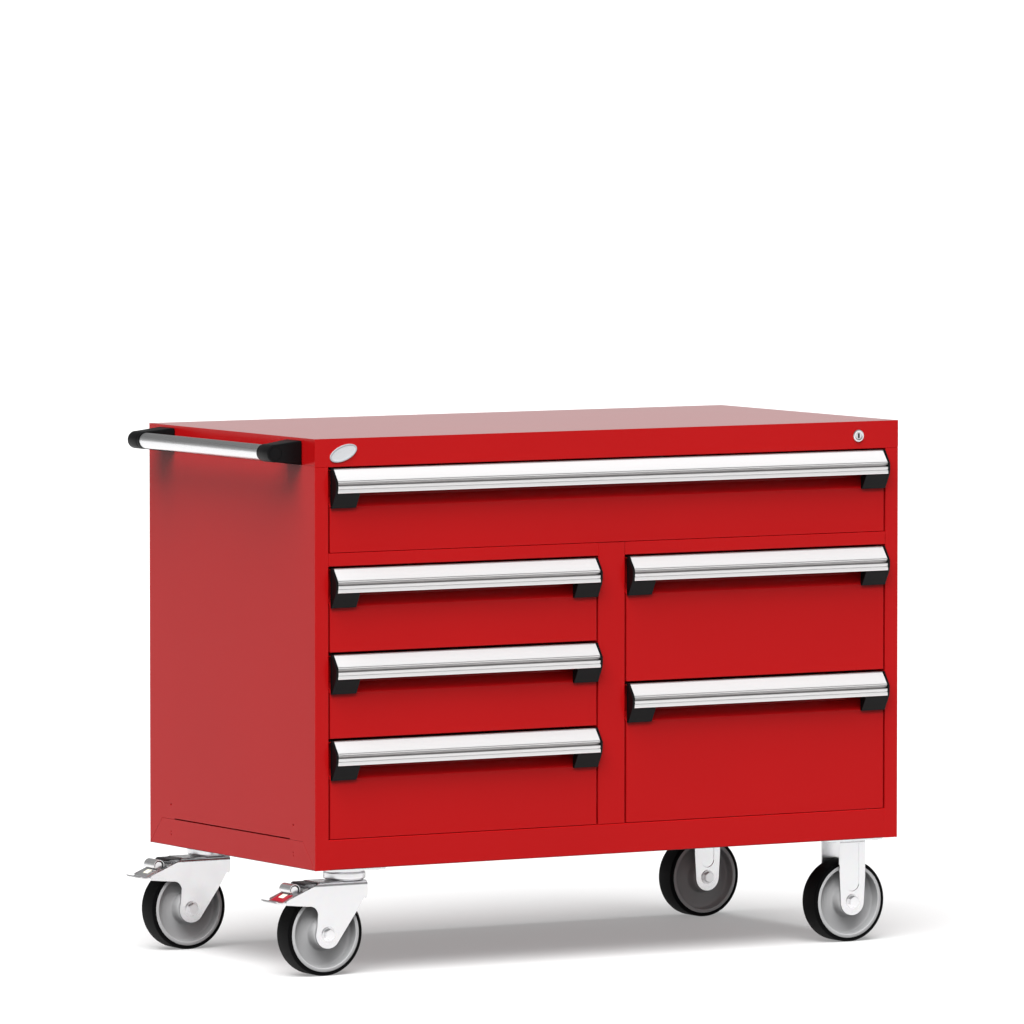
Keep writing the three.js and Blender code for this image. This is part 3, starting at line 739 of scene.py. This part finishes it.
def makePlate(at, half, bolts, gauge, under, bm):
    # a caster's top plate, with the heads of its four bolts below it
    x, y = half[0] * mm, half[1] * mm
    outline = [(at.x - x, at.y - y), (at.x + x, at.y - y), (at.x + x, at.y + y),
               (at.x - x, at.y + y)]
    prism(outline, under - gauge * mm, under - plate["seam"] * mm, turn=onZ, bm=bm)
    for x in (-bolts[0], bolts[0]):
        for y in (-bolts[1], bolts[1]):
            head = Vector((at.x + x * mm, at.y + y * mm, under - gauge * mm))
            hexBolt(head, Vector((0, 0, -1)), plate["head"] * mm, plate["headDepth"] * mm, bm=bm)


def makeSwivel(name):
    body = name + "_swivel"
    centre = makeWheel(name, name + "_wheel")
    makeAxle(name, centre, body)
    kingpin = centre + Vector((fork["trail"] * mm, 0, 0))
    under = centre.z + fork["drop"] * mm
    crown = under + fork["crown"] * mm
    u = channel((-150, 32), -125)
    bmesh.ops.translate(u, verts=u.verts[:], vec=(kingpin.x, kingpin.y, crown))
    sides = slab(swivelSide(), centre, fork["cutHalf"])
    piece(carve(u, sides, "INTERSECT"), name + ".fork", zinc, body, [name + "_fork"],
          fork["edge"], 3, 40)

    at = Vector((kingpin.x, kingpin.y, under))
    r, top, foot = bearing["radius"], bearing["top"], bearing["foot"]
    race = [(0, -bearing["plate"]), (r - 3, -bearing["plate"]), (r - 3, top + 1.5),
            (r - 1.2, top)] + arc(r - 2, top - 2, 2, 90, 0, 4)
    race += [(r, foot + 6)] + arc(r - 1.5, foot + 4, 1.5, 0, -60, 3)
    race += [(r - 3.2, foot + 1.4), (r - 3.4, foot + 0.3), (0, foot + 0.3)]
    cup = turned(scaled(race), at, Vector((0, 0, 1)), 72)
    makePlate(at, plate["half"], plate["bolts"], bearing["plate"], under, cup)
    nut = at + Vector((0, 0, (fork["crown"] - fork["gauge"]) * mm))
    hexBolt(nut, Vector((0, 0, -1)), bearing["nut"] * mm, bearing["nutDepth"] * mm, bm=cup)
    piece(cup, name + ".bearing", zinc, "root", [name + "_plate"], 0.4, 2)
    makeBrake(name, body, centre)


brake = {
    "pin": (-41, 77.5), "pinRadius": 6, "width": 54, "gauge": 2.2, "curl": (-60, 79.5, 9.5),
    "curlWidth": 38, "curlGauge": 1.6, "coverGauge": 1.3, "padWidth": 42, "markWidth": 16,
    "springWidth": 48, "springGauge": 1.8,
}


def ribbon(points, gauge):
    # a strip of the given thickness to the right of a chain of points
    back = []
    for i, (x, z) in enumerate(points):
        a, b = points[max(i - 1, 0)], points[min(i + 1, len(points) - 1)]
        length = math.hypot(b[0] - a[0], b[1] - a[1])
        back.append((x + gauge * (b[1] - a[1]) / length, z - gauge * (b[0] - a[0]) / length))
    return points + back[::-1]


def makeBrake(name, body, centre):
    # heights and reaches are about the axle
    pedal = name + "_pedal"
    slope = [(-36, 73), (-56, 72), (-64, 69.5), (-85, 58.5)]
    lip = arc(-91, 68.5, 11.4, -57, -92, 4) + [(-97, 57.8), (-103, 60.5)]
    tread = slab(ribbon((slope + lip)[::-1], -brake["gauge"]), centre, brake["width"] / 2)
    piece(tread, name + ".pedal", zinc, pedal, [name + "_brake_pedal"], 0.5, 2)

    cx, cz, r = brake["curl"]
    half = brake["curlWidth"] / 2
    curl = slab(ribbon(arc(cx, cz, r, 200, -20, 14), -brake["curlGauge"]), centre, half)
    piece(curl, name + ".release", zinc, pedal, (), 0.4, 2)
    cover = slab(ribbon(arc(cx, cz, r + 0.2, 150, 60, 8), brake["coverGauge"]), centre,
                 half * 0.93)
    piece(cover, name + ".release_cover", pedalRed, pedal, (), 0.3, 2)

    pad = [(-65.5, 69.9), (-66.2, 72.3), (-87.2, 61.3), (-86, 58.8)]
    padFinish = pedalRed if "front" in name else zinc
    piece(slab(pad, centre, brake["padWidth"] / 2), name + ".pedal_pad", padFinish, pedal,
          (), 0.6, 3)
    window = [(-68, 71), (-68.3, 72.1), (-79, 66.5), (-78.6, 65.4)]
    piece(slab(window, centre, brake["markWidth"] / 2), name + ".pedal_mark", pedalCream, pedal,
          (), 0.15, 2)

    roller = [(0, -0.9), (r - 2.4, -0.9), (r - 1.8, -0.8), (r - 1.8, 0.8), (r - 2.4, 0.9), (0, 0.9)]
    core = turned(scaled([(a, b * half) for a, b in roller]),
                  centre + Vector((cx * mm, 0, cz * mm)), steps=40)
    piece(core, name + ".release_core", zinc, pedal)

    px, pz = brake["pin"]
    pinAt = centre + Vector((px * mm, 0, pz * mm))
    reach = (fork["inside"] - 0.8) * mm
    r = brake["pinRadius"] * mm
    pin = turned([(0, -reach), (r - mm, -reach), (r, -reach + mm), (r, reach - mm),
                  (r - mm, reach), (0, reach)], pinAt, steps=40)
    piece(pin, name + ".pedal_pin", boltSteel, body)
    roof = [(-8, 91.2), (-41, 91.2), (-44.8, 88.6)]  # stays clear of the lifted pedal
    strip = slab(ribbon(roof, -brake["springGauge"]), centre, brake["springWidth"] / 2)
    piece(strip, name + ".brake_spring", darkSteel, body, (), 0.3, 2)


def makeRigid(name):
    centre = makeWheel(name, name + "_wheel")
    makeAxle(name, centre, "root")
    under = centre.z + fork["drop"] * mm
    u = channel((-60, 60), -142)
    bmesh.ops.translate(u, verts=u.verts[:], vec=(centre.x, centre.y, under - 0.4 * mm))
    cheeks = carve(u, slab(rigidSide(), centre, fork["cutHalf"]), "INTERSECT")
    half, head = fork["pressHalf"], fork["drop"] - fork["pressTop"]
    outline = arc(0, fork["drop"] - fork["pressDrop"] + half, half, 180, 360, 12)
    outline += [(half, head), (-half, head)]
    pressed = fork["inside"] + fork["gauge"] - fork["press"]
    half = (fork["cutHalf"] - pressed) / 2
    for sign in (-1, 1):
        beside = centre + Vector((0, sign * (pressed + half) * mm, 0))
        cheeks = carve(cheeks, slab(outline, beside, half), "DIFFERENCE")
    makePlate(centre, plate["fixedHalf"], plate["fixedBolts"], plate["fixedGauge"], under, cheeks)
    piece(cheeks, name + ".fork", zinc, "root", [name + "_fork"], fork["edge"], 3, 40)


for name in ("caster_front_left", "caster_back_left"):
    makeSwivel(name)
for name in ("caster_front_right", "caster_back_right"):
    makeRigid(name)
print("casters done")


floorSize = {"radius": 300.0}
view = {
    "aim": (-0.0281, -0.05, 0.7933), "distance": 17.245, "azimuth": -30.62,
    "elevation": 3.666, "lens": 335.38, "sensor": 36, "farClip": 2000,
}
world = {
    "below": 0.07, "belowTo": -0.06, "horizon": 0.6, "bandTo": 0.1, "sky": 0.3, "skyFrom": 0.3,
}
lights = {
    "overhead": {"power": 6.4, "spread": 60, "turn": (27, 0, -40)},
    "front": {"power": 0.9, "spread": 60, "turn": (62, 0, -36)},
}

ground = bmesh.new()
bmesh.ops.create_circle(ground, segments=96, radius=floorSize["radius"], cap_ends=True)
floor = toObject(ground, "floor")
floor.data.materials.append(makeFloor("floorPale"))
floor.visible_diffuse = False  # the cabinet's shaded faces stay dark


def makeWorld():
    # brightness by height: dark below, light at the horizon, greyer above
    made = bpy.data.worlds.new("studio")
    scene.world = made
    made.use_nodes = True
    tree = made.node_tree
    tree.nodes.clear()
    direction = tree.nodes.new("ShaderNodeTexCoord")
    split = tree.nodes.new("ShaderNodeSeparateXYZ")
    ramp = tree.nodes.new("ShaderNodeFloatCurve")
    glow = tree.nodes.new("ShaderNodeBackground")
    output = tree.nodes.new("ShaderNodeOutputWorld")
    line = ramp.mapping.curves[0]
    line.points[0].location = (0, world["below"])
    line.points[1].location = (1, world["sky"])
    line.points.new(0.5 + world["belowTo"] / 2, world["below"])
    line.points.new(0.5, world["horizon"])
    line.points.new(0.5 + world["bandTo"] / 2, world["horizon"])
    line.points.new(0.5 + world["skyFrom"] / 2, world["sky"])
    for point in line.points:
        point.handle_type = "VECTOR"
    ramp.mapping.update()
    middle = tree.nodes.new("ShaderNodeMapRange")
    middle.inputs["From Min"].default_value = -1
    tree.links.new(direction.outputs["Generated"], split.inputs[0])
    tree.links.new(split.outputs["Z"], middle.inputs["Value"])
    tree.links.new(middle.outputs[0], ramp.inputs["Value"])
    tree.links.new(ramp.outputs[0], glow.inputs["Strength"])
    tree.links.new(glow.outputs[0], output.inputs[0])


makeWorld()
for name, spec in lights.items():
    sun = bpy.data.lights.new(name, "SUN")
    sun.energy = spec["power"]
    sun.angle = math.radians(spec["spread"])
    lamp = bpy.data.objects.new(name, sun)
    lamp.rotation_euler = [math.radians(a) for a in spec["turn"]]
    lamp.visible_glossy = False
    scene.collection.objects.link(lamp)

lens = bpy.data.cameras.new("camera")
lens.lens = view["lens"]
lens.sensor_width = view["sensor"]
lens.clip_end = view["farClip"]
camera = bpy.data.objects.new("camera", lens)
swing = math.radians(view["azimuth"])
tilt = math.radians(view["elevation"])
level = math.cos(tilt)
away = Vector((math.sin(swing) * level, -math.cos(swing) * level, math.sin(tilt)))
camera.location = Vector(view["aim"]) + away * view["distance"]
camera.rotation_euler = (math.radians(90) - tilt, 0, swing)
scene.collection.objects.link(camera)
scene.camera = camera
scene.view_settings.view_transform = "Standard"
print("stage done")
